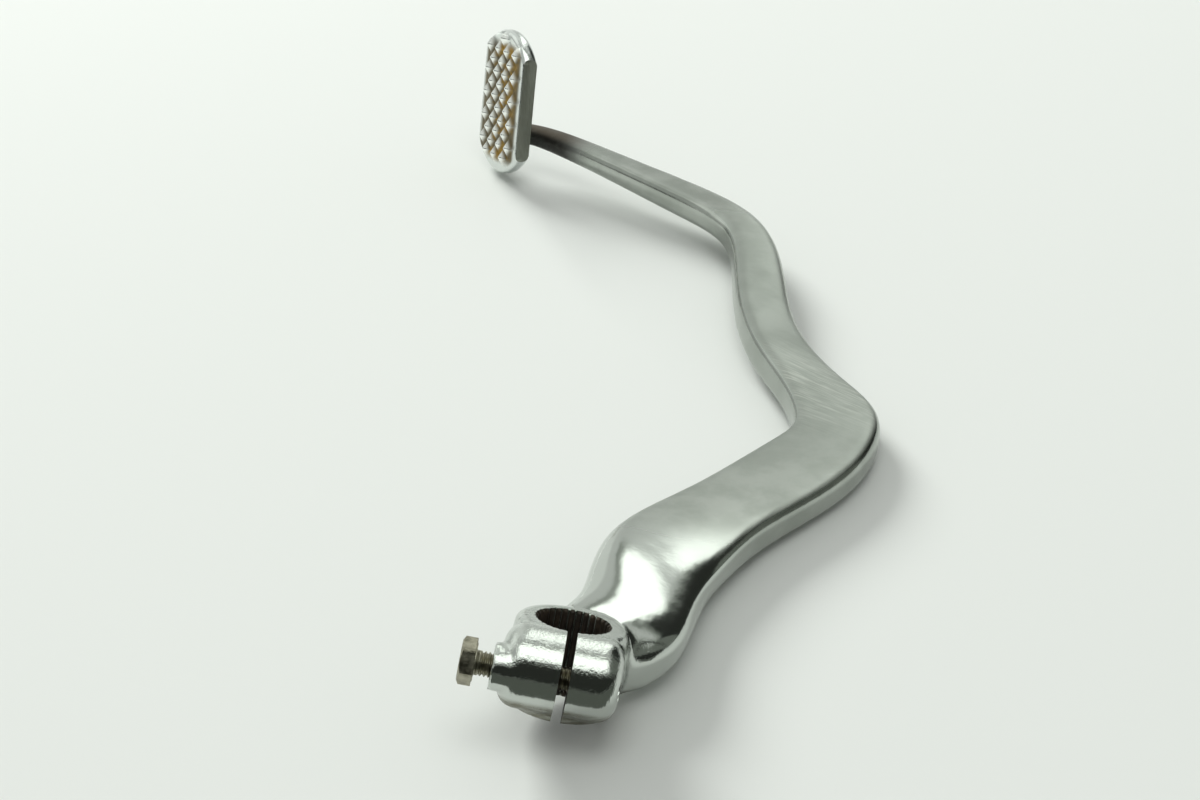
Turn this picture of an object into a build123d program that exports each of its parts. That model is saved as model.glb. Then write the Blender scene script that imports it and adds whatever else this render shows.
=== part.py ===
import os
from math import atan2, cos, degrees, hypot, radians, sin

from build123d import *

os.makedirs("parts", exist_ok=True)

# Rear brake pedal, in mm, lying as it rests on a table: +Z up, origin at the middle of the bore.

# Lie of the clamp boss: how far its bore leans away from and across the table's upright.
bore_lean_away = 18.6
bore_lean_right = 10.9
slit_turn = 4.5

# Clamp boss
boss_height = 22
boss_top_radius = 13.6
boss_mid_radius = 15
boss_bottom_radius = 12.6
boss_rim_round = 2.6

# Serrated bore
serration_count = 33
serration_crest_radius = 8.6
serration_depth = 1.0
serration_mouth = 1.0
bore_mouth_chamfer = 0.6
chamfer_slope = 45

# Pinch lugs, with the slit between them
slit_width = 2.5
bolt_offset = 14
bolt_rise = 0.9
lug_radius = 10.2
lug_setback = 9.6
lug_head_side = 15.3
lug_thread_side = 13.4
lug_end_round = 5
seat_radius = 5.7
seat_height = 1.9

# Pinch bolt, M6 with a 10 mm hexagon, screwed out until its head stands clear of the seat
bolt_radius = 3
bolt_hole_clearance = 0.05
bolt_head_clear = 3.9
bolt_length = 30
bolt_end_chamfer = 0.7
hex_flats = 10
hex_height = 3.7
hex_turn = -14
hex_face_inset = 0.3
hex_chamfer_slope = 60

# Arm: x, y, z of each section's centre, heading, roll, width, thickness, corner round and crown,
# from boss to neck. The crown is how far the middle of each face stands above its edges.
arm_stations = [
    (2, 3, -3, 58, 6, 17, 13, 3, 1),
    (13.3, 16.9, -3.6, 59, 13, 28.4, 16.5, 5, 2.5),
    (18.7, 33, -4.2, 65, 16, 30.3, 15.5, 5, 2.5),
    (22.9, 47.9, -5.2, 63, 14, 30.9, 14, 4.5, 2),
    (30, 61.2, -6.6, 55, 6, 30.4, 12, 3.5, 1.2),
    (41.9, 76.6, -8.2, 46.5, 1, 28, 11, 3.2, 0.6),
    (57.9, 94.1, -9, 47, 0, 28.4, 10.5, 3, 0.5),
    (70, 109, -9, 60, 0, 26.5, 10.5, 3, 0.5),
    (75, 123, -9, 92, 2, 25, 10.5, 3, 0.5),
    (70.5, 143, -9, 107, 7, 20.5, 10.5, 3, 0.4),
    (61.5, 168, -8.5, 105, 13, 18, 10.5, 3, 0.4),
    (58, 192, -7.5, 92, 11, 17, 10, 3, 0.4),
    (57.5, 219, -6, 94, 6, 15.5, 10, 3, 0.3),
    (52.5, 243, -5, 118, 4, 14, 9.5, 3, 0.3),
    (36.5, 262.5, -4, 134, 0, 12, 9, 2.4, 0.2),
    (15.5, 282, -2.5, 137, 0, 10, 8, 2.4, 0.2),
    (-4.5, 300.5, -1.5, 138, 0, 8.5, 7, 2.4, 0.2),
    (-12.5, 306, -1, 155, 0, 8, 6.5, 2.4, 0.2),
]
root_round = 1.5

# Toe pad: straight sides, ends arched between them
pad_centre = (-23.5, 309.5, 10.5)
pad_lean_away = 12
pad_lean_right = 5.8
pad_turn = 27
pad_width = 30
pad_side_length = 35
pad_end_rise = 7.2
pad_thickness = 5.2
pad_edge_round = 0.8
neck_drop = 11
neck_width = 8.5
neck_height = 7
neck_corner = 2.4
neck_crown = 0.2

# Pyramids on the toe pad, in staggered rows, cut off at the pad's margin
pyramid_rows = 12
pyramids_across = 4
pyramid_row_pitch = 4
pyramid_across_pitch = 6.6
pyramid_groove = 0.3
pyramid_height = 2.2
pyramid_tip = 0.5
pyramid_margin = 0.8

# Weld bead where the neck meets the pad
weld_leg = 2.2
weld_slope = 40


def direction(lean_away, lean_right):
    away, right = radians(lean_away), radians(lean_right)
    return Vector(sin(right), sin(away) * cos(right), cos(away) * cos(right))


def section_plane(station):
    x, y, z, heading, roll = station[:5]
    along = Vector(cos(radians(heading)), sin(radians(heading)), 0)
    level = Vector(sin(radians(heading)), -cos(radians(heading)), 0)
    across = level * cos(radians(roll)) - Vector(0, 0, 1) * sin(radians(roll))
    return Plane(origin=(x, y, z), x_dir=across, z_dir=along)


bore_axis = direction(bore_lean_away, bore_lean_right)
across_slit = Vector(cos(radians(slit_turn)), -sin(radians(slit_turn)), 0)
across_slit = across_slit - Vector(0, 0, across_slit.dot(bore_axis) / bore_axis.Z)
bore_plane = Plane(origin=(0, 0, 0), x_dir=across_slit, z_dir=bore_axis)
boss_profile = Plane(origin=(0, 0, 0), x_dir=bore_plane.x_dir, z_dir=-bore_plane.y_dir)
bolt_plane = Plane(
    origin=bore_plane.from_local_coords((0, -bolt_offset, bolt_rise)),
    x_dir=bore_plane.z_dir,
    z_dir=bore_plane.x_dir,
)
lug_profile = Plane(
    origin=bore_plane.from_local_coords((0, -lug_setback, bolt_rise)),
    x_dir=bore_plane.x_dir,
    z_dir=-bore_plane.y_dir,
)

pad_axis = direction(pad_lean_away, pad_lean_right)
pad_back = Vector(cos(radians(pad_turn)), sin(radians(pad_turn)), 0)
pad_back = (pad_back - pad_axis * pad_back.dot(pad_axis)).normalized()
pad_plane = Plane(origin=pad_centre, x_dir=pad_axis.cross(pad_back * -1), z_dir=pad_back * -1)
pad_back_plane = pad_plane.offset(-pad_thickness / 2)
neck_plane = Plane(
    origin=pad_back_plane.from_local_coords((0, -neck_drop, 0)),
    x_dir=pad_back_plane.x_dir,
    z_dir=pad_back_plane.z_dir,
)

arm_sections = [(section_plane(station), station[5:]) for station in arm_stations]
arm_sections.append((neck_plane, (neck_width, neck_height, neck_corner, neck_crown)))

half_height = boss_height / 2
seat_face = lug_head_side + seat_height
head_face = seat_face + bolt_head_clear

with BuildPart() as pedal_arm:
    for plane, (width, thickness, corner, crown) in arm_sections:
        shoulder = thickness / 2 - crown
        with BuildSketch(plane):
            with BuildLine():
                ThreePointArc((-width / 2, shoulder), (0, thickness / 2), (width / 2, shoulder))
                Line((width / 2, shoulder), (width / 2, -shoulder))
                ThreePointArc((width / 2, -shoulder), (0, -thickness / 2), (-width / 2, -shoulder))
                Line((-width / 2, -shoulder), (-width / 2, shoulder))
            make_face()
            fillet(vertices(), corner)
    loft()
    with BuildSketch(boss_profile):
        with BuildLine():
            Polyline(
                (0, -half_height),
                (boss_bottom_radius, -half_height),
                (boss_mid_radius, 0),
                (boss_top_radius, half_height),
                (0, half_height),
                close=True,
            )
        make_face()
        fillet(vertices().sort_by(Axis.X)[-3:], boss_rim_round)
    revolve(axis=Axis(boss_profile.origin, boss_profile.y_dir))
    fillet(edges(Select.NEW), root_round)
    with BuildSketch(lug_profile):
        with BuildLine():
            Polyline(
                (-lug_head_side, 0),
                (-lug_head_side, lug_radius),
                (lug_thread_side, lug_radius),
                (lug_thread_side, 0),
                close=True,
            )
        make_face()
        fillet(vertices().group_by(Axis.Y)[-1], lug_end_round)
    revolve(axis=Axis(lug_profile.origin, lug_profile.x_dir))
    with BuildSketch(bolt_plane.offset(-seat_face)):
        Circle(seat_radius)
    extrude(amount=seat_face)
    with BuildSketch(bore_plane.offset(-boss_height)):
        Circle(serration_crest_radius)
        with PolarLocations(serration_crest_radius, serration_count):
            Polygon(
                (-serration_depth, -serration_mouth / 2),
                (0, -serration_mouth / 2),
                (serration_depth, 0),
                (0, serration_mouth / 2),
                (-serration_depth, serration_mouth / 2),
                align=None,
            )
        with Locations((0, -boss_mid_radius)):
            Rectangle(slit_width, 2 * boss_mid_radius)
    extrude(amount=2 * boss_height, mode=Mode.SUBTRACT)
    for side in (1, -1):
        with BuildSketch(bore_plane.offset(side * half_height)):
            Circle(serration_crest_radius + bore_mouth_chamfer)
        extrude(amount=-side * bore_mouth_chamfer, taper=chamfer_slope, mode=Mode.SUBTRACT)
    with BuildSketch(bolt_plane.offset(-2 * seat_face)):
        Circle(bolt_radius + bolt_hole_clearance)
    extrude(amount=4 * seat_face, mode=Mode.SUBTRACT)

pedal_arm.part.label = "pedal_arm"
export_step(pedal_arm.part, "parts/pedal_arm.step")

with BuildPart() as pinch_bolt:
    with BuildSketch(bolt_plane.offset(-head_face)):
        RegularPolygon(hex_flats / 2, 6, major_radius=False, rotation=hex_turn)
    extrude(amount=-hex_height)
    with BuildSketch(bolt_plane.offset(-head_face - hex_height)):
        Circle(hex_flats / 2 - hex_face_inset)
    extrude(amount=hex_height, taper=-hex_chamfer_slope, mode=Mode.INTERSECT)
    with BuildSketch(bolt_plane.offset(-head_face)):
        Circle(bolt_radius)
    extrude(amount=bolt_length - bolt_end_chamfer)
    with BuildSketch(bolt_plane.offset(bolt_length - bolt_end_chamfer - head_face)):
        Circle(bolt_radius)
    extrude(amount=bolt_end_chamfer, taper=chamfer_slope)

pinch_bolt.part.label = "pinch_bolt"
export_step(pinch_bolt.part, "parts/pinch_bolt.step")

half_side = pad_side_length / 2
half_width = pad_width / 2
along = pyramid_row_pitch - pyramid_groove
across = pyramid_across_pitch / 2 - pyramid_groove
slant = degrees(atan2(along * across / hypot(along, across) - pyramid_tip / 2, pyramid_height))

with BuildSketch(pad_back_plane) as pad_outline:
    with BuildLine():
        Line((-half_width, -half_side), (-half_width, half_side))
        ThreePointArc((-half_width, half_side), (0, half_side + pad_end_rise), (half_width, half_side))
        Line((half_width, half_side), (half_width, -half_side))
        ThreePointArc((half_width, -half_side), (0, -half_side - pad_end_rise), (-half_width, -half_side))
    make_face()

with BuildPart() as pyramids:
    with BuildSketch(pad_back_plane.offset(pad_thickness)):
        for shift in (-1, 1):
            count = pyramids_across if shift < 0 else pyramids_across - 1
            with Locations((0, shift * pyramid_row_pitch / 2)):
                with GridLocations(pyramid_across_pitch, 2 * pyramid_row_pitch, count, pyramid_rows // 2):
                    Polygon((-across, 0), (0, -along), (across, 0), (0, along))
    extrude(amount=pyramid_height, taper=slant)
    with BuildSketch(pad_back_plane):
        Rectangle(2 * pad_width, 2 * pad_side_length)
        offset(pad_outline.sketch_local, amount=-pyramid_margin, mode=Mode.SUBTRACT)
    extrude(amount=2 * pad_thickness, mode=Mode.SUBTRACT)

with BuildPart() as toe_pad:
    with BuildSketch(pad_back_plane):
        add(pad_outline.sketch_local)
    extrude(amount=pad_thickness)
    fillet(edges().filter_by(GeomType.CIRCLE), pad_edge_round)
    add(pyramids.part)

toe_pad.part.label = "toe_pad"
export_step(toe_pad.part, "parts/toe_pad.step")

with BuildPart() as pad_weld:
    with BuildSketch(neck_plane):
        RectangleRounded(neck_width + 2 * weld_leg, neck_height + 2 * weld_leg, neck_corner + weld_leg)
    extrude(amount=-weld_leg, taper=weld_slope)
    add(pedal_arm.part, mode=Mode.SUBTRACT)

pad_weld.part.label = "pad_weld"
export_step(pad_weld.part, "parts/pad_weld.step")
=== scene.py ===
from math import cos, pi, radians, sin, sqrt, tan

import bmesh
import bpy
import numpy as np
from mathutils import Matrix, Vector, noise as field


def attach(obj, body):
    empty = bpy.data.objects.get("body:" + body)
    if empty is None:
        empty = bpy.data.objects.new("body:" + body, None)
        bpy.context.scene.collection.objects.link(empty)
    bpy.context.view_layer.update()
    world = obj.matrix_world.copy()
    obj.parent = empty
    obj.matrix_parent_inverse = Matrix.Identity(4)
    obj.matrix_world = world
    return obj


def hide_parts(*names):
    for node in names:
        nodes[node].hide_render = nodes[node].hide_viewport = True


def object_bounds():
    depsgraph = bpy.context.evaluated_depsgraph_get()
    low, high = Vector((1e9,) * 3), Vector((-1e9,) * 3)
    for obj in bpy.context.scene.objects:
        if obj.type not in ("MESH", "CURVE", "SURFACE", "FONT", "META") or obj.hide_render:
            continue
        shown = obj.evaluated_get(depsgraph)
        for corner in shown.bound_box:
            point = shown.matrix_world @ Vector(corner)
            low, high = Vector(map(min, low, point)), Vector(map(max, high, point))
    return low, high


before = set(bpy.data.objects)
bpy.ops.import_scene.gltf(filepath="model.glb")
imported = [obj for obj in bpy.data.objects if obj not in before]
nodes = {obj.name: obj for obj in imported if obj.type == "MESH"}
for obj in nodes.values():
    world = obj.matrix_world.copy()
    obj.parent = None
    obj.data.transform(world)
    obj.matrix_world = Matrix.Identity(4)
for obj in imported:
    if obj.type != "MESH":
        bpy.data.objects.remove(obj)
cad_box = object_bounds()
scene = bpy.context.scene
floor_level = cad_box[0].z

# Camera, at the photograph's viewing angle
camera_data = bpy.data.cameras.new("camera")
camera_data.lens = 75
camera_data.sensor_width = 36
camera = bpy.data.objects.new("camera", camera_data)
camera.location = (0.0083, -0.4830, 0.3566)
camera.rotation_euler = (radians(59.6), 0, 0)
scene.collection.objects.link(camera)
scene.camera = camera


# The bore, the bolt and the pad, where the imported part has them
def direction(lean_away, lean_right):
    away, right = radians(lean_away), radians(lean_right)
    return Vector((sin(right), sin(away) * cos(right), cos(away) * cos(right)))


def placed(x_dir, z_dir, origin=(0, 0, 0)):
    matrix = Matrix((x_dir, z_dir.cross(x_dir), z_dir)).transposed().to_4x4()
    matrix.translation = origin
    return matrix


bore_up = direction(18.6, 10.9)
slit_turn = radians(4.5)
across_slit = Vector((cos(slit_turn), -sin(slit_turn), 0))
across_slit.z = -across_slit.dot(bore_up) / bore_up.z
across_slit.normalize()
bore = placed(across_slit, bore_up)
bolt_line = placed(bore_up, across_slit, bore @ Vector((0, -0.014, 0.0009)))
lug_line = placed(bore_up, across_slit, bore @ Vector((0, -0.0096, 0.0009)))

pad_axis = direction(12, 5.8)
pad_back = Vector((cos(radians(27)), sin(radians(27)), 0))
pad_back = (pad_back - pad_axis * pad_back.dot(pad_axis)).normalized()
pad = placed(pad_axis.cross(-pad_back), -pad_back, (-0.0235, 0.3095, 0.0105))
neck = pad @ Matrix.Translation((0, -0.011, -0.0026))

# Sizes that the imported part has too, in metres
boss_half = 0.011
boss_rim_round = 0.0026
lug_radius = 0.0102
lug_head_side = 0.0153
lug_thread_side = 0.0134
seat_radius = 0.0057
seat_face = 0.0172
bore_crest = 0.0086
tooth_depth = 0.001
tooth_mouth = 0.001
tooth_count = 33
slit_width = 0.0025
hole_radius = 0.00305

head_face = 0.0211
head_height = 0.0037
head_apothem = 0.005
head_turn = radians(-14)
shank_radius = 0.003
shank_end = 0.0089

pad_half_width = 0.015
pad_half_side = 0.0175
pad_end_rise = 0.0072
pad_half_thick = 0.0026
row_pitch = 0.004
column_pitch = 0.0066
pyramid_height = 0.0022


# Mesh helpers
def rounded(points, radii, steps=8):
    """Round the corners of an open run of points in a plane."""
    out = []
    for index, point in enumerate(points):
        here = Vector(point)
        radius = radii[index]
        if not radius:
            out.append(tuple(here))
            continue
        before = (Vector(points[index - 1]) - here).normalized()
        after = (Vector(points[index + 1]) - here).normalized()
        half = before.angle(after) / 2
        centre = here + (before + after).normalized() * radius / sin(half)
        start = here + before * radius / tan(half) - centre
        end = here + after * radius / tan(half) - centre
        for step in range(steps + 1):
            spoke = start.slerp(end, step / steps).normalized()
            out.append(tuple(centre + spoke * radius))
    return out


def lathe(made, profile, place, segments=96):
    """A closed turned form: profile gives radius and height, from one pole to the other."""
    rings = []
    for radius, height in profile:
        if radius == 0:
            pole = made.verts.new(place @ Vector((0, 0, height)))
            rings.append([pole] * segments)
            continue
        ring = []
        for segment in range(segments):
            angle = 2 * pi * segment / segments
            point = Vector((radius * cos(angle), radius * sin(angle), height))
            ring.append(made.verts.new(place @ point))
        rings.append(ring)
    join_rings(made, rings)


def join_rings(made, rings):
    """Faces between closed rings of equal count; a pole is a ring of one repeated corner."""
    count = len(rings[0])
    for low, high in zip(rings, rings[1:]):
        for segment in range(count):
            following = (segment + 1) % count
            corners = [low[segment], low[following], high[following], high[segment]]
            corners = [c for index, c in enumerate(corners) if c not in corners[:index]]
            made.faces.new(corners)


def new_object(name, made):
    mesh = bpy.data.meshes.new(name)
    bmesh.ops.recalc_face_normals(made, faces=made.faces)
    made.to_mesh(mesh)
    made.free()
    obj = bpy.data.objects.new(name, mesh)
    scene.collection.objects.link(obj)
    return obj


def settle(obj):
    """Put the modifiers' result into the object's own mesh."""
    graph = bpy.context.evaluated_depsgraph_get()
    mesh = bpy.data.meshes.new_from_object(obj.evaluated_get(graph))
    obj.modifiers.clear()
    obj.data = mesh


def shade(obj, angle=35):
    obj.data.shade_smooth()
    obj.data.set_sharp_from_angle(angle=radians(angle))


def finish_piece(obj, node_name, material):
    obj.data.materials.clear()
    obj.data.materials.append(material)
    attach(obj, "root")
    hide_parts(node_name)


# Smoothing of the remeshed forging
def relax(points, edges, weights, rounds, factors):
    """Move points towards their neighbours' middle, in place."""
    count = np.bincount(edges.ravel(), minlength=len(points))[:, None]
    for _ in range(rounds):
        for factor in factors:
            total = np.empty_like(points)
            for axis in range(3):
                column = points[:, axis]
                total[:, axis] = np.bincount(edges[:, 0], column[edges[:, 1]], len(points))
                total[:, axis] += np.bincount(edges[:, 1], column[edges[:, 0]], len(points))
            points += factor * weights * (total / count - points)


def ramp_down(value, low, high):
    t = np.clip((high - value) / (high - low), 0, 1)
    return t * t * (3 - 2 * t)


def soften(mesh):
    """Even out the voxels, then melt the root, the lugs and the boss's edges a little."""
    points = np.empty(len(mesh.vertices) * 3)
    mesh.vertices.foreach_get("co", points)
    points = points.reshape(-1, 3)
    edges = np.empty(len(mesh.edges) * 2, np.int32)
    mesh.edges.foreach_get("vertices", edges)
    edges = edges.reshape(-1, 2)
    everywhere = np.ones((len(points), 1))
    relax(points, edges, everywhere, 25, (0.5, -0.53))

    local = (points - np.array(bore.translation)) @ np.array(bore.to_3x3())
    radius = np.hypot(local[:, 0], local[:, 1])
    height = local[:, 2]
    arm_side = np.clip(local[:, 1] / np.maximum(radius, 1e-6) * 3 + 1, 0, 1)
    root = ramp_down(np.abs(radius - 0.0165), 0.0015, 0.006)
    root = root * ramp_down(height, 0.006, 0.0095) * arm_side
    relax(points, edges, root[:, None], 60, (0.6,))
    lugs = ramp_down(np.abs(radius - 0.0145), 0.001, 0.0045) * (1 - arm_side)
    lugs *= ramp_down(np.abs(height), 0.008, 0.0105)
    relax(points, edges, lugs[:, None], 12, (0.6,))
    beyond_boss = 1 - ramp_down(points[:, 1], 0.01, 0.03)
    relax(points, edges, beyond_boss[:, None], 14, (0.6,))
    mesh.vertices.foreach_set("co", points.ravel())
    mesh.update()


# The forging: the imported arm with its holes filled, softened as a drop forging is, and cut again
def forged_arm():
    made = bmesh.new()
    made.from_mesh(nodes["pedal_arm"].data)
    boss = [(0, -boss_half), (0.0126, -boss_half), (0.015, 0), (0.0136, boss_half), (0, boss_half)]
    lathe(made, rounded(boss, [0, boss_rim_round, boss_rim_round, boss_rim_round, 0]), bore)
    lug = [
        (0, -lug_head_side),
        (lug_radius, -lug_head_side),
        (lug_radius, lug_thread_side),
        (0, lug_thread_side),
    ]
    lathe(made, rounded(lug, [0, 0.005, 0.005, 0]), lug_line)
    seat = [(0, -seat_face), (seat_radius, -seat_face), (seat_radius, -0.004), (0, -0.004)]
    lathe(made, rounded(seat, [0, 0.0006, 0, 0]), bolt_line)
    obj = new_object("arm_forging", made)
    remesh = obj.modifiers.new("remesh", "REMESH")
    remesh.mode = "VOXEL"
    remesh.voxel_size = 0.0006
    settle(obj)
    soften(obj.data)

    cutters = [bore_cutter(), slit_cutter(), hole_cutter()]
    for cutter in cutters:
        cut = obj.modifiers.new("cut", "BOOLEAN")
        cut.operation = "DIFFERENCE"
        cut.solver = "MANIFOLD"
        cut.object = cutter
    settle(obj)
    for cutter in cutters:
        bpy.data.objects.remove(cutter)
    shade(obj)
    return obj


def bore_cutter():
    """The serrated bore with its flared mouths: each ring has a height and a least radius."""
    made = bmesh.new()
    half = tooth_mouth / 2 / bore_crest
    rest = pi / tooth_count
    root = bore_crest + tooth_depth
    tooth_shape = ((-half, bore_crest), (0, root), (half, bore_crest), (rest, bore_crest))
    mouth = ((0.0104, 0), (0.011, 0.0092), (0.02, 0.0182))
    profile = [(-height, least) for height, least in reversed(mouth)] + list(mouth)
    rings = []
    for height, least in profile:
        ring = []
        for tooth in range(tooth_count):
            middle = 2 * pi * tooth / tooth_count
            for turn, radius in tooth_shape:
                angle = middle + turn
                reach = max(radius, least)
                point = Vector((reach * cos(angle), reach * sin(angle), height))
                ring.append(made.verts.new(bore @ point))
        rings.append(ring)
    join_rings(made, rings)
    made.faces.new(list(reversed(rings[0])))
    made.faces.new(rings[-1])
    return new_object("bore_cutter", made)


def slit_cutter():
    made = bmesh.new()
    bmesh.ops.create_cube(made, size=1)
    size = Matrix.Diagonal((slit_width, 0.03, 0.05, 1))
    made.transform(bore @ Matrix.Translation((0, -0.015, 0)) @ size)
    return new_object("slit_cutter", made)


def hole_cutter():
    made = bmesh.new()
    profile = [(0, -0.03), (hole_radius, -0.03), (hole_radius, 0.03), (0, 0.03)]
    lathe(made, profile, bolt_line, 64)
    return new_object("hole_cutter", made)


# The pinch bolt: chamfered hexagon, washer face and a rolled thread
def hex_bolt():
    made = bmesh.new()
    segments = 96
    inset = 0.0003
    top = -head_face - head_height
    rings = []

    def pole(level):
        rings.append([made.verts.new(bolt_line @ Vector((0, 0, level)))] * segments)

    def ring(radii, height):
        row = []
        for segment in range(segments):
            angle = 2 * pi * segment / segments
            radius = radii(angle) if callable(radii) else radii
            level = height(angle) if callable(height) else height
            point = Vector((radius * cos(angle), radius * sin(angle), level))
            row.append(made.verts.new(bolt_line @ point))
        rings.append(row)

    def hexagon(angle):
        turn = (angle - head_turn) % (pi / 3)
        return head_apothem / cos(turn - pi / 6)

    def chamfered(angle):
        return top + max(hexagon(angle) - head_apothem + inset, 0) * tan(radians(30))

    pole(top + 0.00015)
    ring(0.0036, top + 0.00015)
    ring(0.0041, top)
    ring(head_apothem - inset, top)
    ring(lambda a: hexagon(a) * 0.997, chamfered)
    ring(hexagon, lambda a: chamfered(a) + 0.0001)
    ring(hexagon, -head_face - 0.0003)
    ring(lambda a: hexagon(a) * 0.985, -head_face - 0.0002)
    ring(0.0046, -head_face - 0.0002)
    ring(0.0046, -head_face)
    ring(0.0031, -head_face)
    ring(0.0029, -head_face + 0.0003)
    thread_start = -head_face + 0.0006
    thread_end = shank_end - 0.0006
    pitch, depth, per_turn = 0.001, 0.0005, 8
    count = int((thread_end - thread_start) / pitch * per_turn)
    for step in range(count + 1):
        level = thread_start + step * pitch / per_turn
        fade = min(1, step / 6, (count - step) / 8)

        def threaded(angle, level=level, fade=fade):
            phase = (level / pitch - angle / (2 * pi)) % 1
            groove = max(0, 1 - abs(phase - 0.5) / 0.44)
            return shank_radius - depth * min(groove * 1.15, 1) * fade

        ring(threaded, level)
    ring(0.0024, thread_end + 0.0006)
    pole(thread_end + 0.0006)
    join_rings(made, rings)
    obj = new_object("hex_bolt", made)
    shade(obj, 28)
    return obj


# The weld bead: an uneven ring of overlapping ripples round the neck
def weld_ring():
    made = bmesh.new()
    rings = []
    around, across = 120, 20
    for step in range(around):
        angle = 2 * pi * step / around
        outward = Vector((cos(angle), sin(angle), 0))
        wobble = field.noise(outward * 1.7)
        ripple = 0.5 + 0.5 * cos(14 * angle + 1.5 * sin(angle))
        middle = Vector((0.0044 * cos(angle), 0.0037 * sin(angle), 0))
        size = 0.0017 * (1 + 0.16 * wobble + 0.07 * ripple)
        ring = []
        for turn in range(across):
            swing = 2 * pi * turn / across
            reach = middle + outward * size * cos(swing)
            reach.z = min(-0.0001 + size * 1.05 * sin(swing), 0.0003)
            ring.append(made.verts.new(neck @ reach))
        rings.append(ring)
    rings.append(rings[0])
    join_rings(made, rings)
    obj = new_object("weld_ring", made)
    shade(obj, 60)
    return obj


# The toe pad: a plate with well rounded ends, milled sides and staggered pyramids
pad_arch = (pad_half_width**2 + pad_end_rise**2) / (2 * pad_end_rise)


def pad_reach(x):
    """How far the pad's arched end stands from its middle, at x across it."""
    return pad_half_side + pad_end_rise - pad_arch + sqrt(pad_arch**2 - x**2)


def pyramid_tops():
    """The middles of the pyramids that fit whole between the rims."""
    tops = []
    for row in range(-6, 6):
        start, count = (-0.0099, 4) if row % 2 == 0 else (-0.0066, 3)
        for x in [start + column_pitch * index for index in range(count)]:
            y = row_pitch * (row + 0.5)
            if pad_reach(x) - abs(y) > 0.0027:
                tops.append((x, y))
    return tops


def pad_relief(x, y, tops):
    """Height of the pad's front over its plain face."""
    rim_round, side_chamfer = 0.0020, 0.0004
    half_across, half_along = 0.0030, 0.0037
    to_end = (pad_reach(x) - abs(y)) * sqrt(1 - (x / pad_arch) ** 2)
    to_side = pad_half_width - abs(x)
    drop = 0
    if to_end < rim_round:
        drop = rim_round - sqrt(rim_round**2 - (rim_round - to_end) ** 2)
    drop = max(drop, side_chamfer - to_side)
    near = min(abs(x - left) / half_across + abs(y - low) / half_along for left, low in tops)
    room = min(max((min(to_end, to_side) - 0.0006) / 0.0005, 0), 1)
    return room * min(max(1 - near, 0) / 0.9, 1) * pyramid_height - drop


def tread_pad():
    made = bmesh.new()
    columns, rows = 120, 208
    tops = pyramid_tops()
    grid = []
    for row in range(rows + 1):
        line = []
        for column in range(columns + 1):
            x = pad_half_width * (2 * column / columns - 1)
            y = pad_reach(x) * (2 * row / rows - 1)
            front = pad_half_thick + pad_relief(x, y, tops)
            line.append(made.verts.new(pad @ Vector((x, y, front))))
        grid.append(line)
    for low, high in zip(grid, grid[1:]):
        for column in range(columns):
            made.faces.new((low[column], low[column + 1], high[column + 1], high[column]))

    border = grid[0] + [line[-1] for line in grid[1:]]
    border += grid[-1][-2::-1] + [line[0] for line in grid[-2:0:-1]]
    flat = pad.inverted()
    rings = [border]
    back_rim = ((-0.0006, 0), (-0.0015, 0.0003), (-0.0022, 0.0009), (-pad_half_thick, 0.0019))
    for level, inset in back_rim:
        ring = []
        for vert in border:
            place = flat @ vert.co
            place.z = level
            place.y *= 1 - inset / pad_reach(min(abs(place.x), pad_half_width))
            ring.append(made.verts.new(pad @ place))
        rings.append(ring)
    join_rings(made, rings)
    made.faces.new(rings[-1])
    obj = new_object("tread_pad", made)
    shade(obj, 50)
    return obj


# Node helpers
def new_material(name):
    material = bpy.data.materials.new(name)
    material.use_nodes = True
    tree = material.node_tree
    tree.nodes.clear()
    output = tree.nodes.new("ShaderNodeOutputMaterial")
    return material, tree, output


def node(tree, kind, inputs=None, **settings):
    made = tree.nodes.new(kind)
    for key, value in settings.items():
        setattr(made, key, value)
    for key, value in (inputs or {}).items():
        if isinstance(value, bpy.types.NodeSocket):
            tree.links.new(value, made.inputs[key])
        else:
            made.inputs[key].default_value = value
    return made


def connect(tree, output, kind, inputs):
    shader = node(tree, kind, inputs)
    tree.links.new(shader.outputs[0], output.inputs["Surface"])


def maths(tree, operation, a, b=0.0, clamp=False):
    made = node(tree, "ShaderNodeMath", {0: a, 1: b}, operation=operation, use_clamp=clamp)
    return made.outputs[0]


def product(tree, *factors):
    result = factors[0]
    for factor in factors[1:]:
        result = maths(tree, "MULTIPLY", result, factor)
    return result


def largest(tree, *values):
    result = values[0]
    for value in values[1:]:
        result = maths(tree, "MAXIMUM", result, value)
    return result


def vector_maths(tree, operation, a, b, output):
    made = node(tree, "ShaderNodeVectorMath", {0: a, 1: tuple(b)}, operation=operation)
    return made.outputs[output]


def along_axis(tree, coords, axis, origin=(0, 0, 0)):
    offset = vector_maths(tree, "SUBTRACT", coords, origin, "Vector")
    return vector_maths(tree, "DOT_PRODUCT", offset, axis, "Value")


def span(tree, value, low, high, to_low=0.0, to_high=1.0, smooth=False):
    made = node(
        tree,
        "ShaderNodeMapRange",
        {"Value": value, "From Min": low, "From Max": high, "To Min": to_low, "To Max": to_high},
        interpolation_type="SMOOTHSTEP" if smooth else "LINEAR",
    )
    return made.outputs["Result"]


def window(tree, value, low, high, soft):
    rise = span(tree, value, low - soft, low + soft, smooth=True)
    fall = span(tree, value, high - soft, high + soft, 1.0, 0.0, smooth=True)
    return product(tree, rise, fall)


def noise(tree, coords, scale, detail=3.0, roughness=0.5):
    inputs = {"Vector": coords, "Scale": scale, "Detail": detail, "Roughness": roughness}
    return node(tree, "ShaderNodeTexNoise", inputs).outputs["Fac"]


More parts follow.
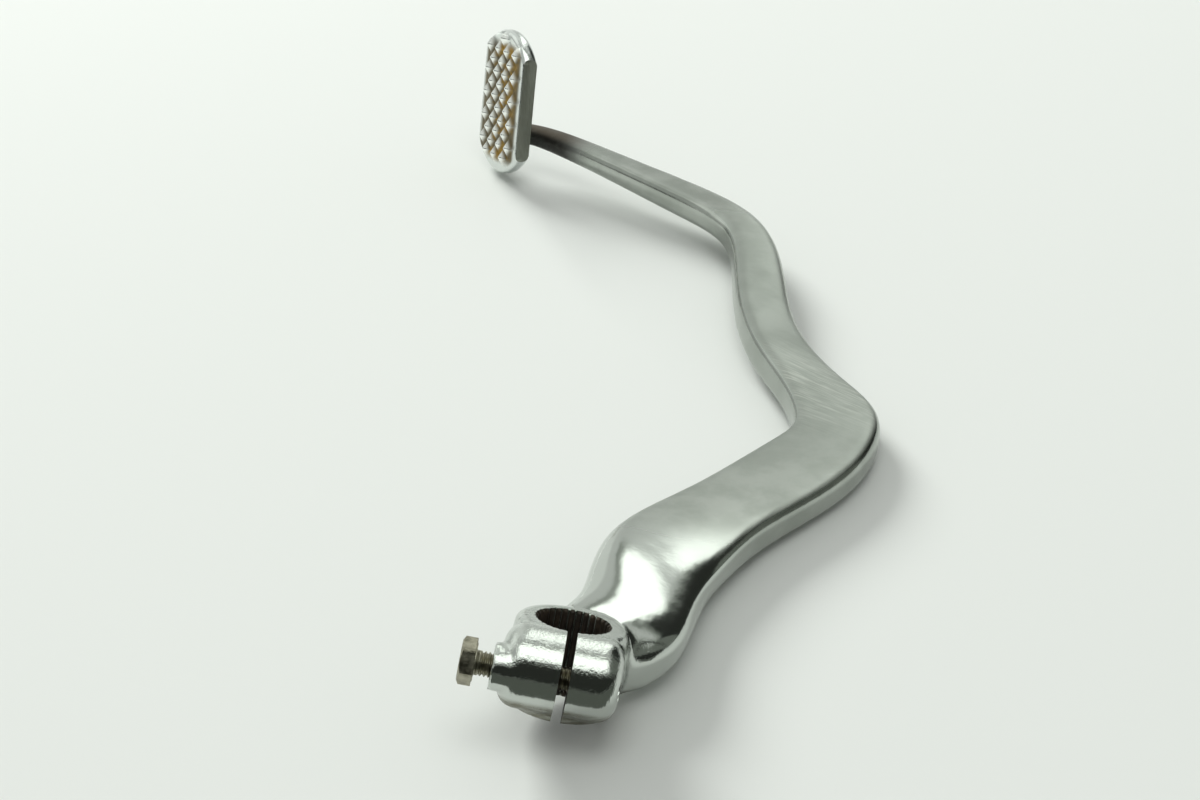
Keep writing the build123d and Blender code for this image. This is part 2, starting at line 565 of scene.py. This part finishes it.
def stretched(tree, coords, scale, turn=(0, 0, 0)):
    turned = node(tree, "ShaderNodeMapping", {"Vector": coords, "Rotation": turn})
    inputs = {"Vector": turned.outputs["Vector"], "Scale": scale}
    return node(tree, "ShaderNodeMapping", inputs).outputs["Vector"]


def mix(tree, factor, a, b):
    return node(tree, "ShaderNodeMix", {0: factor, 6: a, 7: b}, data_type="RGBA").outputs[2]


def blend_value(tree, factor, a, b):
    return node(tree, "ShaderNodeMix", {0: factor, 2: a, 3: b}, data_type="FLOAT").outputs[0]


def colour(r, g, b):
    return (r, g, b, 1.0)


def bump(tree, height, distance, strength=1.0, normal=None):
    inputs = {"Height": height, "Distance": distance, "Strength": strength}
    if normal is not None:
        inputs["Normal"] = normal
    return node(tree, "ShaderNodeBump", inputs).outputs["Normal"]


def pits(tree, coords, scale, size, share):
    """Round spots in a share of the cells."""
    cells = node(tree, "ShaderNodeTexVoronoi", {"Vector": coords, "Scale": scale}, feature="F1")
    chance = node(tree, "ShaderNodeSeparateColor", {0: cells.outputs["Color"]}).outputs[0]
    chosen = maths(tree, "LESS_THAN", chance, share)
    close = span(tree, cells.outputs["Distance"], size * 0.5, size, 1.0, 0.0, smooth=True)
    return product(tree, chosen, close)


def inside_holes(tree, coords):
    """Where the bore's wall and the slit are, which were never plated."""
    across, along, up = bore.to_3x3().col
    sideways = along_axis(tree, coords, across)
    lengthways = along_axis(tree, coords, along)
    from_bore = maths(tree, "POWER", sideways, 2.0)
    from_bore = maths(tree, "ADD", from_bore, maths(tree, "POWER", lengthways, 2.0))
    from_bore = maths(tree, "SQRT", from_bore)
    grooves = span(tree, from_bore, 0.0089, 0.0095, 1.0, 0.0)
    height = maths(tree, "ABSOLUTE", along_axis(tree, coords, up))
    grooves = product(tree, grooves, span(tree, height, 0.0102, 0.0106, 1.0, 0.0))
    in_bore = largest(tree, grooves, maths(tree, "LESS_THAN", from_bore, 0.00928))
    in_slit = maths(tree, "LESS_THAN", maths(tree, "ABSOLUTE", sideways), 0.00127)
    in_slit = product(tree, in_slit, maths(tree, "LESS_THAN", lengthways, 0.0))
    return largest(tree, in_bore, in_slit)


# Chrome plate on the arm: clear round the boss, hazy on the flats, brushed beyond the elbow,
# pitted here and there, burnt at the neck with painted shade under it, and with a painted
# reflection of the shaded table low on the boss
def chrome_arm():
    material, tree, output = new_material("chrome_arm")
    coords = node(tree, "ShaderNodeTexCoord").outputs["Object"]
    place = node(tree, "ShaderNodeSeparateXYZ", {0: coords}).outputs
    length = place["Y"]
    normal = node(tree, "ShaderNodeNewGeometry").outputs["Normal"]
    facing_up = node(tree, "ShaderNodeSeparateXYZ", {0: normal}).outputs["Z"]
    reach = span(tree, length, 0.041, 0.072, smooth=True)

    haze = span(tree, noise(tree, coords, 55, 4, 0.6), 0.38, 0.62, smooth=True)
    dulled = blend_value(tree, haze, 0.42, 0.50)
    dulled = blend_value(tree, span(tree, length, 0.215, 0.255, smooth=True), dulled, 0.25)
    sides = span(tree, facing_up, 0.70, 0.92, 1.0, 0.0, smooth=True)
    dulled = blend_value(tree, sides, dulled, 0.20)
    rough = blend_value(tree, reach, 0.12, dulled)

    elbow = window(tree, length, 0.122, 0.158, 0.016)
    brushed = stretched(tree, coords, (2300, 90, 700), (0, 0, radians(-52)))
    streaks = span(tree, noise(tree, brushed, 1, 3, 0.6), 0.46, 0.70)
    scratches = product(tree, streaks, elbow, span(tree, facing_up, 0.80, 0.95))
    combed = stretched(tree, coords, (5200, 150, 1500), (0, 0, radians(28)))
    hairs = noise(tree, combed, 1, 2, 0.5)
    peel = noise(tree, coords, 700, 2)
    wave = noise(tree, coords, 90, 2)
    holes = pits(tree, coords, 150, 0.05, 0.05)
    flow = noise(tree, stretched(tree, coords, (1500, 1500, 130)), 1, 3, 0.6)
    on_boss = span(tree, length, 0.0, 0.012, 1.0, 0.0)
    height = maths(tree, "ADD", product(tree, peel, 0.35), product(tree, hairs, reach, 0.18))
    height = maths(tree, "ADD", height, product(tree, scratches, 0.5))
    height = maths(tree, "SUBTRACT", height, product(tree, holes, 2.0))
    height = maths(tree, "ADD", height, product(tree, flow, on_boss, 3.5))
    normal = bump(tree, height, 0.00004, 0.7, bump(tree, wave, 0.0004, 0.1))

    to_neck = along_axis(tree, coords, (-0.78, 0.62, 0), (0.004, 0.2925, 0))
    burnt = span(tree, to_neck, -0.006, 0.010, smooth=True)
    patchy = span(tree, noise(tree, coords, 260, 4, 0.65), 0.35, 0.65)
    tint = product(tree, burnt, blend_value(tree, patchy, 0.94, 1.0))
    # Heat tint at the neck is real; its near-black underside against the brown top is painted
    # shade
    painted_shade_under = span(tree, place["Z"], 0.0006, 0.0042, 1.0, 0.0, smooth=True)
    scorched_and_shaded = mix(tree, painted_shade_under, colour(0.150, 0.112, 0.066), colour(0.012, 0.010, 0.007))

    tarnish = span(tree, noise(tree, coords, 75, 4, 0.6), 0.36, 0.64, smooth=True)
    plain = mix(tree, tarnish, colour(0.47, 0.495, 0.46), colour(0.395, 0.42, 0.385))
    middle = window(tree, length, 0.100, 0.235, 0.02)
    plain = mix(tree, product(tree, middle, 0.5), plain, colour(0.32, 0.345, 0.315))
    plain = mix(tree, product(tree, scratches, 0.65), plain, colour(0.66, 0.68, 0.63))
    clean = mix(tree, reach, colour(0.57, 0.60, 0.565), plain)
    # Painted shade: low on the boss the plate is darkened brown and mottled, a painted reflection
    # of the shaded table under it
    level = along_axis(tree, coords, bore.to_3x3().col[2])
    low = span(tree, level, -0.0068, -0.0048, 1.0, 0.0, smooth=True)
    low = product(tree, low, span(tree, length, 0.002, 0.012, 1.0, 0.0))
    mottled = noise(tree, stretched(tree, coords, (180, 260, 700)), 1, 4, 0.6)
    painted_reflected_shade = product(tree, low, span(tree, mottled, 0.3, 0.6, 0.45, 0.95))
    clean = mix(tree, painted_reflected_shade, clean, colour(0.15, 0.14, 0.095))

    base = mix(tree, tint, clean, scorched_and_shaded)
    base = mix(tree, holes, base, colour(0.10, 0.07, 0.045))
    rough = blend_value(tree, tint, rough, 0.42)
    rough = blend_value(tree, product(tree, scratches, 0.6), rough, 0.42)
    rough = blend_value(tree, painted_reflected_shade, rough, 0.38)
    rough = blend_value(tree, holes, rough, 0.7)
    metal = span(tree, largest(tree, holes, product(tree, tint, 0.9)), 0.0, 1.0, 1.0, 0.2)

    raw = inside_holes(tree, coords)
    dark_steel = mix(tree, patchy, colour(0.02, 0.017, 0.013), colour(0.06, 0.045, 0.03))
    inputs = {
        "Base Color": mix(tree, raw, base, dark_steel),
        "Metallic": blend_value(tree, raw, metal, 0.4),
        "Roughness": blend_value(tree, raw, rough, 0.6),
        "Normal": normal,
    }
    connect(tree, output, "ShaderNodeBsdfPrincipled", inputs)
    return material


# Chrome plate on the pad: rust in the grooves and darker low in them, painted highlights on the
# pyramids, bare milled steel on the straight sides
def chrome_pad():
    material, tree, output = new_material("chrome_pad")
    coords = node(tree, "ShaderNodeTexCoord").outputs["Object"]
    centre = tuple(pad.translation)
    side, rise, front = [along_axis(tree, coords, axis, centre) for axis in pad.to_3x3().col]

    grooves = product(
        tree,
        span(tree, front, 0.0028, 0.0042, 1.0, 0.0, smooth=True),
        span(tree, front, 0.0024, 0.0026),
        window(tree, side, -0.0135, 0.0128, 0.0012),
        window(tree, rise, -0.0195, 0.0195, 0.002),
    )
    patch = span(tree, noise(tree, coords, 130, 4, 0.65), 0.40, 0.60, smooth=True)
    middle = window(tree, side, -0.006, 0.010, 0.005)
    rust = product(tree, grooves, largest(tree, product(tree, patch, middle), 0.12))
    rust = maths(tree, "MULTIPLY", rust, 1.3, clamp=True)
    # Darker low in the grooves between the pyramids
    darker_low_in_grooves = product(tree, grooves, 0.95)
    flats = maths(tree, "GREATER_THAN", maths(tree, "ABSOLUTE", side), 0.01492)
    milled = noise(tree, stretched(tree, coords, (1800, 1800, 140)), 1, 3)

    # Painted highlight: the pyramids turn near white as they rise above the rim
    painted_tip_glint = span(tree, front, 0.0026, 0.0034)
    base = mix(tree, painted_tip_glint, colour(0.70, 0.73, 0.71), colour(0.96, 0.98, 0.95))
    base = mix(tree, darker_low_in_grooves, base, colour(0.11, 0.10, 0.07))
    grain = noise(tree, coords, 420, 3, 0.6)
    orange = mix(tree, grain, colour(0.22, 0.145, 0.035), colour(0.62, 0.40, 0.09))
    base = mix(tree, rust, base, orange)
    steel = mix(tree, milled, colour(0.24, 0.25, 0.21), colour(0.36, 0.37, 0.32))
    base = mix(tree, flats, base, steel)
    rough = blend_value(tree, span(tree, noise(tree, coords, 320, 3), 0.35, 0.65), 0.14, 0.26)
    rough = blend_value(tree, grooves, rough, 0.5)
    rough = blend_value(tree, rust, rough, 0.8)
    rough = blend_value(tree, flats, rough, 0.42)
    flakes = product(tree, rust, noise(tree, coords, 3500, 3), 2.0)
    height = maths(tree, "ADD", noise(tree, coords, 1400, 3), product(tree, flats, milled, 2.0))
    height = maths(tree, "ADD", height, flakes)
    inputs = {
        "Base Color": base,
        "Metallic": span(tree, rust, 0.0, 0.8, 1.0, 0.15),
        "Roughness": rough,
        "Normal": bump(tree, height, 0.00006, 0.8),
    }
    connect(tree, output, "ShaderNodeBsdfPrincipled", inputs)
    return material


# Dull, speckled metal, for the weld bead and the bolt
def dull_metal(name, dark, light, rough, grain):
    material, tree, output = new_material(name)
    coords = node(tree, "ShaderNodeTexCoord").outputs["Object"]
    patches = span(tree, noise(tree, coords, grain, 4, 0.6), 0.35, 0.65)
    base = mix(tree, patches, colour(*dark), colour(*light))
    speckle = pits(tree, coords, grain * 1.5, 0.12, 0.2)
    base = mix(tree, product(tree, speckle, 0.6), base, colour(0.09, 0.06, 0.035))
    inputs = {
        "Base Color": base,
        "Metallic": 1.0,
        "Roughness": blend_value(tree, patches, rough, rough + 0.14),
        "Normal": bump(tree, noise(tree, coords, grain * 4, 3), 0.00008),
    }
    connect(tree, output, "ShaderNodeBsdfPrincipled", inputs)
    return material


def dress(name, material):
    for slot in nodes[name].material_slots:
        slot.material = material


plate = chrome_arm()
burnt_weld = dull_metal("weld_burnt", (0.045, 0.035, 0.028), (0.16, 0.10, 0.06), 0.5, 700)
zinc = dull_metal("bolt_zinc", (0.21, 0.20, 0.15), (0.42, 0.40, 0.315), 0.28, 420)
pad_plate = chrome_pad()
for build, node_name, slot_name, finish in (
    (forged_arm, "pedal_arm", "chrome_plate", plate),
    (tread_pad, "toe_pad", "pad_plate", pad_plate),
    (hex_bolt, "pinch_bolt", "bolt_zinc", zinc),
    (weld_ring, "pad_weld", "weld_bead", burnt_weld),
):
    dress(node_name, finish)
    finish_piece(build(), node_name, finish)


# Stage: a white table, and the dark end of the room, which only shiny surfaces see mirrored
def staged_plane(name, size, location, kind, inputs):
    bpy.ops.mesh.primitive_plane_add(size=size, location=location)
    plane = bpy.context.object
    plane.name = name
    material, tree, output = new_material(name)
    connect(tree, output, kind, inputs)
    plane.data.materials.append(material)
    return plane


staged_plane(
    "table",
    12,
    (0, 0, floor_level),
    "ShaderNodeBsdfPrincipled",
    {"Base Color": colour(0.80, 0.84, 0.79), "Roughness": 0.5, "Specular IOR Level": 0.2},
)
dark_end = staged_plane(
    "dark_end",
    1,
    (0, -1.035, floor_level + 0.0005),
    "ShaderNodeEmission",
    {"Color": colour(0.9, 1.0, 0.85), "Strength": 0.12},
)
dark_end.scale = (2.4, 2.0, 1)
dark_end.visible_camera = False
dark_end.visible_diffuse = False
dark_end.visible_shadow = False


# Lamps, placed by azimuth from +Y towards +X and by elevation
def lamp(name, azimuth, elevation, distance, size, power):
    data = bpy.data.lights.new(name, "AREA")
    data.shape = "DISK"
    data.size = size
    data.energy = power
    made = bpy.data.objects.new(name, data)
    a, e = radians(azimuth), radians(elevation)
    toward = Vector((sin(a) * cos(e), cos(a) * cos(e), sin(e)))
    made.location = Vector((0.03, 0.12, 0)) + toward * distance
    made.rotation_mode = "QUATERNION"
    made.rotation_quaternion = toward.to_track_quat("Z", "Y")
    made.visible_glossy = False
    scene.collection.objects.link(made)


lamp("key", -28, 26, 2.8, 1.2, 78)
lamp("overhead", 170, 75, 1.6, 1.0, 4.5)


# World: a calm even light, with the studio's soft boxes and dark sides in what shiny surfaces
# reflect. Arch is the angle from +Y over the top towards the camera, aside the angle towards +X.
def studio():
    world = bpy.data.worlds.new("studio")
    scene.world = world
    world.use_nodes = True
    tree = world.node_tree
    tree.nodes.clear()
    toward = node(tree, "ShaderNodeTexCoord").outputs["Generated"]
    parts = node(tree, "ShaderNodeSeparateXYZ", {0: toward}).outputs
    to_degrees = 180 / pi
    azimuth = product(tree, maths(tree, "ARCTAN2", parts["X"], parts["Y"]), to_degrees)
    elevation = product(tree, maths(tree, "ARCSINE", parts["Z"]), to_degrees)
    arch = product(tree, maths(tree, "ARCTAN2", parts["Z"], parts["Y"]), to_degrees)
    aside = product(tree, maths(tree, "ARCSINE", parts["X"]), to_degrees)

    def patch(first, second):
        return product(tree, window(tree, *first), window(tree, *second))

    far_box = patch((azimuth, 10, 31.5, 1.2), (elevation, 23.2, 66, 1.2))
    near_box = patch((arch, 84, 122, 1.5), (aside, -24, 30, 8))
    boxes = largest(tree, far_box, near_box)

    behind = window(tree, arch, 130, 200, 4)
    behind_low = maths(tree, "LESS_THAN", arch, -150)
    right = window(tree, azimuth, 32, 66, 2)
    right = product(tree, right, span(tree, elevation, 40, 48, 1.0, 0.0))
    right_far = window(tree, azimuth, 62, 118, 5)
    right_far = product(tree, right_far, span(tree, elevation, 42, 55, 1.0, 0.0), 0.75)
    gap = window(tree, arch, 76, 85, 1.5)
    gap = product(tree, gap, span(tree, aside, -12, 4, 0.2, 1.0))
    far_rim = product(tree, patch((azimuth, 6.5, 10, 1.0), (elevation, 20, 66, 2)), 0.65)
    dark = largest(tree, behind, behind_low, right, gap, right_far, far_rim)

    left = window(tree, azimuth, -112, -30, 8)
    pane = patch((azimuth, -72, -30, 6), (elevation, 18, 52, 5))
    beside = window(tree, azimuth, -26, -3, 2.5)
    level = blend_value(tree, left, 0.66, 0.55)
    level = blend_value(tree, pane, level, 1.1)
    level = blend_value(tree, beside, level, 0.85)
    level = blend_value(tree, dark, level, 0.03)
    level = blend_value(tree, boxes, level, 2.0)
    tone = mix(tree, dark, colour(0.96, 1.0, 0.95), colour(0.9, 1.0, 0.85))

    def background(tint, strength):
        inputs = {"Color": tint, "Strength": strength}
        return node(tree, "ShaderNodeBackground", inputs).outputs[0]

    def choose(factor, a, b):
        return node(tree, "ShaderNodeMixShader", {0: factor, 1: a, 2: b}).outputs[0]

    rays = node(tree, "ShaderNodeLightPath").outputs
    shiny = largest(tree, rays["Is Glossy Ray"], rays["Is Transmission Ray"])
    light = choose(shiny, background(colour(1, 1, 1), 0.42), background(tone, level))
    light = choose(rays["Is Camera Ray"], light, background(colour(0.66, 0.70, 0.64), 1.0))
    node(tree, "ShaderNodeOutputWorld", {"Surface": light})


studio()
scene.view_settings.view_transform = "Standard"
